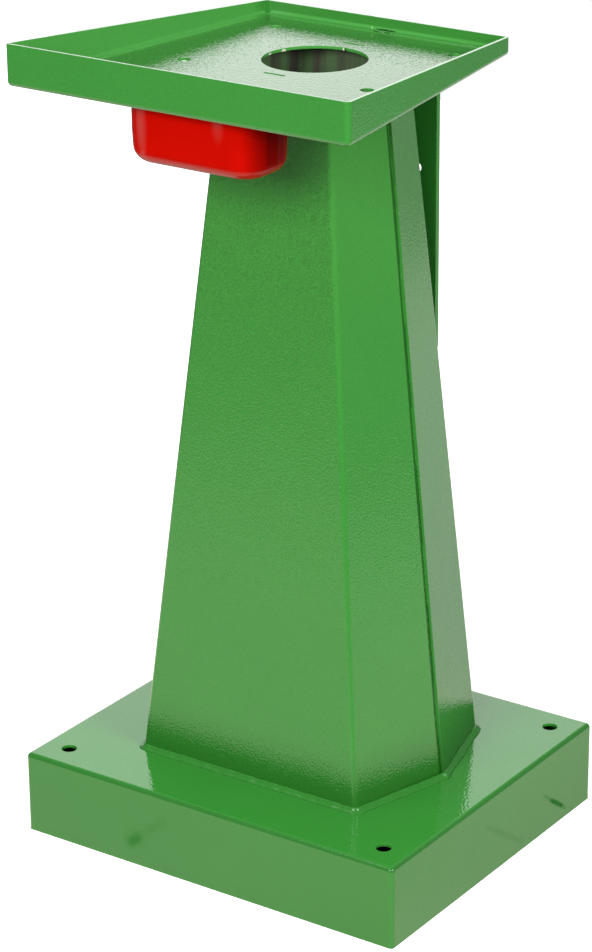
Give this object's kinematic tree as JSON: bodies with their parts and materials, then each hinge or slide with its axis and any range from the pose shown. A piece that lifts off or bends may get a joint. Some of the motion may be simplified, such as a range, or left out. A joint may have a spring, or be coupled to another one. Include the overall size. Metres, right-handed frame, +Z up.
{
  "type": "bench grinder stand",
  "caption": "Sheet-steel floor stand for a bench grinder: box base, tapered folded column, drip tray with bolt holes, rear plate and a lift-out coolant pot.",
  "frame": {"origin": "on the floor, below the centre of the overall footprint", "axes": "+Z up, -Y towards the user at the front of the tray, +X to the right"},
  "size_m": [0.453, 0.411, 0.85],
  "materials": {
    "green_powder_coat": "glossy powder coat with a fine orange-peel texture",
    "red_gloss_plastic": "gloss"
  },
  "bodies": {
    "stand": {"base_box": "green_powder_coat", "base_corner_welds": "green_powder_coat", "column_front_shell": "green_powder_coat", "column_rear_shell": "green_powder_coat", "column_seam_welds": "green_powder_coat", "column_foot_weld": "green_powder_coat", "column_top_weld": "green_powder_coat", "tray": "green_powder_coat", "tray_corner_welds": "green_powder_coat", "rear_plate": "green_powder_coat", "rear_plate_weld": "green_powder_coat"},
    "pot": {"coolant_pot": "red_gloss_plastic"}
  },
  "joints": [
    {"name": "pot_lift", "type": "slide", "parent": "stand", "child": "pot", "axis": [0, 0, 1], "range_m": [0, 0.12]}
  ]
}
